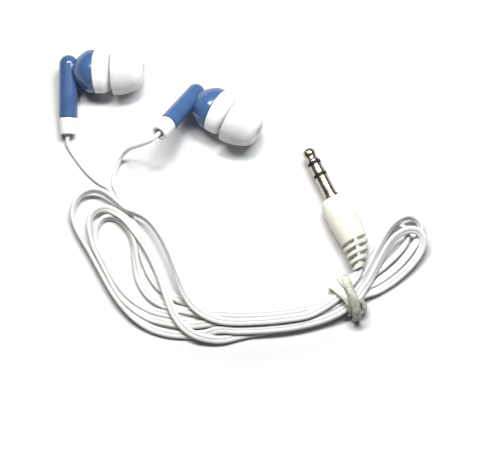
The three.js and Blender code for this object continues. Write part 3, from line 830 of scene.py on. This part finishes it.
def make_materials():
    metal = {"Metallic": 1.0}
    return {
        "blue_shell": textured("blue_shell", (0.037, 0.083, 0.192), (0.047, 0.098, 0.216), (0.16, 0.24),
                               0.6, 0.006, 3, Coat_Weight=0.15, Coat_Roughness=0.06, IOR=1.4),
        "white_shell": textured("white_shell", (0.71, 0.715, 0.71), (0.75, 0.75, 0.745), (0.16, 0.24), 0.5,
                                0.006, 3, IOR=1.5, Subsurface_Weight=0.1, Subsurface_Scale=0.001),
        "tip_silicone": textured("tip_silicone", (0.74, 0.745, 0.73), (0.8, 0.805, 0.79), (0.28, 0.4), 0.3,
                                 0.01, 2, IOR=1.41, Alpha=0.8, Subsurface_Weight=0.9,
                                 Subsurface_Scale=0.003),
        "steel_mesh": textured("steel_mesh", (0.02, 0.02, 0.02), (0.6, 0.6, 0.62), (0.3, 0.5), 0.3, 0.12,
                               2, pattern="holes", **metal),
        "black_plastic": textured("black_plastic", (0.004, 0.004, 0.004), (0.008, 0.008, 0.008),
                                  (0.5, 0.62), 0.2, 0.01, Specular_IOR_Level=0.25),
        "brass_ring": textured("brass_ring", (0.5, 0.34, 0.14), (0.62, 0.44, 0.2), (0.25, 0.4), 0.3, 0.01,
                               pattern="brushed", **metal),
        "foam": textured("foam", (0.03, 0.03, 0.032), (0.06, 0.06, 0.062), (0.85, 0.95), 0.15, 0.08, 0.5),
        "felt": textured("felt", (0.6, 0.58, 0.52), (0.76, 0.74, 0.68), (0.9, 1), 0.12, 0.08, 0.4,
                         Sheen_Weight=0.4),
        "steel": textured("steel", (0.42, 0.43, 0.45), (0.55, 0.56, 0.58), (0.25, 0.4), 0.2, 0.01,
                          pattern="brushed", **metal),
        "copper": textured("copper", (0.55, 0.22, 0.1), (0.78, 0.36, 0.18), (0.25, 0.4), 0.2, 0.06, 1,
                           pattern="winding", **metal),
        "film": textured("film", (0.6, 0.5, 0.3), (0.75, 0.66, 0.42), (0.2, 0.35), 0.5, 0.02,
                         Transmission_Weight=0.3),
        "board": textured("board", (0.02, 0.12, 0.04), (0.03, 0.2, 0.07), (0.35, 0.55), 0.3, 0.02, 1),
        "red_wire": textured("red_wire", (0.4, 0.02, 0.02), (0.52, 0.04, 0.03), (0.3, 0.45), 0.2, 0.01),
        "cord_jacket": textured("cord_jacket", (0.62, 0.615, 0.6), (0.67, 0.668, 0.655), (0.34, 0.48), 0.25,
                                0.012, 2.2, IOR=1.45, Subsurface_Weight=0.15, Subsurface_Scale=0.0006),
        "contact_metal": textured("contact_metal", (0.42, 0.39, 0.31), (0.56, 0.53, 0.44), (0.2, 0.3), 0.3,
                                  0.004, 2, pattern="brushed", **metal),
        "cream_plastic": textured("cream_plastic", (0.62, 0.615, 0.54), (0.69, 0.685, 0.61), (0.34, 0.48),
                                  0.2, 0.015, 2.5, IOR=1.46, Subsurface_Weight=0.12,
                                  Subsurface_Scale=0.001),
        # The band's dark olive stop is painted shade and its pale cream stop painted light, spread across X
        # by the ramp.
        "band_elastic": textured("band_elastic", (0.29, 0.295, 0.235), (0.62, 0.62, 0.53), (0.5, 0.7), 0.2,
                                 0.04, 0.9, pattern="painted_light_ramp", Sheen_Weight=0.2),
    }


# The finish of each CAD node, by its name without its side.
NODE_FINISH = {
    "nozzle_mesh": "steel_mesh", "driver_frame": "black_plastic", "diaphragm_ring": "brass_ring",
    "front_gasket": "foam", "damping_felt": "felt", "yoke": "steel", "magnet": "steel",
    "top_plate": "steel", "voice_coil": "copper", "ground_wire": "copper", "diaphragm": "film",
    "terminal_board": "board", "signal_wire": "red_wire", "cord_knot": "cord_jacket",
    "plug_core": "cream_plastic", "plug_cord_end": "cord_jacket", "housing": "blue_shell",
    "front_cover": "white_shell", "stem_cap": "white_shell", "ear_tip": "tip_silicone",
    "cord": "cord_jacket", "cord_hank": "cord_jacket", "hank_band": "band_elastic",
    "plug_tip": "contact_metal", "plug_ring": "contact_metal", "plug_sleeve": "contact_metal",
    "plug_front_insulator": "black_plastic", "plug_rear_insulator": "black_plastic",
    "plug_body": "cream_plastic",
}


def paint_nodes(paint):
    """Gives every CAD node its finish, those inside and those that a piece replaces among them."""
    for name in NODES:
        key = name
        for start in ("left_", "right_", "main_"):
            key = key.removeprefix(start)
        node = bpy.data.objects[name]
        node.data.materials.clear()
        node.data.materials.append(paint[NODE_FINISH[key]])


# ---- Stage ----------------------------------------------------------------------------------


def make_floor_material():
    """White paper that glows a little from 56 mm outwards, as a bright studio floor burns out."""
    material = textured("paper", (0.64, 0.642, 0.646), (0.66, 0.66, 0.66), (0.6, 0.75), 0.8, 0.01, 30)
    tree = material.node_tree
    surface = tree.nodes["Principled BSDF"]
    where = add_node(tree, "ShaderNodeTexCoord")
    centred = add_node(tree, "ShaderNodeMapping", [("Vector", where, "Object")],
                       Location=(-23 * MM, 10 * MM, 0))
    far = add_node(tree, "ShaderNodeVectorMath", [(0, centred, "Vector")], operation="LENGTH")
    glow = add_node(tree, "ShaderNodeMapRange", [("Value", far, "Value")], From_Min=56 * MM,
                    From_Max=100 * MM, To_Min=0, To_Max=0.9)
    surface.inputs["Emission Color"].default_value = (1, 1, 1, 1)
    tree.links.new(glow.outputs["Result"], surface.inputs["Emission Strength"])
    return material


def add_lamp(name, x, colour):
    """A soft box above and behind the earphones, aimed at the near side of the hank."""
    data = bpy.data.lights.new(name, "AREA")
    data.shape = "RECTANGLE"
    data.size = 90 * MM
    data.size_y = 28 * MM
    data.energy = 0.32
    data.color = colour
    lamp = bpy.data.objects.new(name, data)
    lamp.location = Vector((x, 38, 155)) * MM
    direction = Vector((20, -60, 0)) * MM - lamp.location
    lamp.rotation_euler = direction.to_track_quat("-Z", "Y").to_euler()
    bpy.context.scene.collection.objects.link(lamp)


def add_stage():
    half = 3.0  # metres
    corners = [(-half, -half, 0), (half, -half, 0), (half, half, 0), (-half, half, 0)]
    floor = new_object("floor", corners, [(0, 1, 2, 3)])
    floor.data.materials.append(make_floor_material())
    world = bpy.data.worlds.new("world")
    world.use_nodes = True
    background = world.node_tree.nodes["Background"]
    background.inputs["Color"].default_value = (0.93, 0.96, 1, 1)
    background.inputs["Strength"].default_value = 0.08
    bpy.context.scene.world = world
    add_lamp("warm_lamp", -10, (1, 0.97, 0.93))
    add_lamp("cool_lamp", 62, (0.94, 0.97, 1))
    bpy.context.scene.view_settings.view_transform = "Standard"


paint = make_materials()
add_camera()
add_band(paint)
add_earbuds(paint)
add_plug(paint)
add_cord(paint)
paint_nodes(paint)
add_stage()
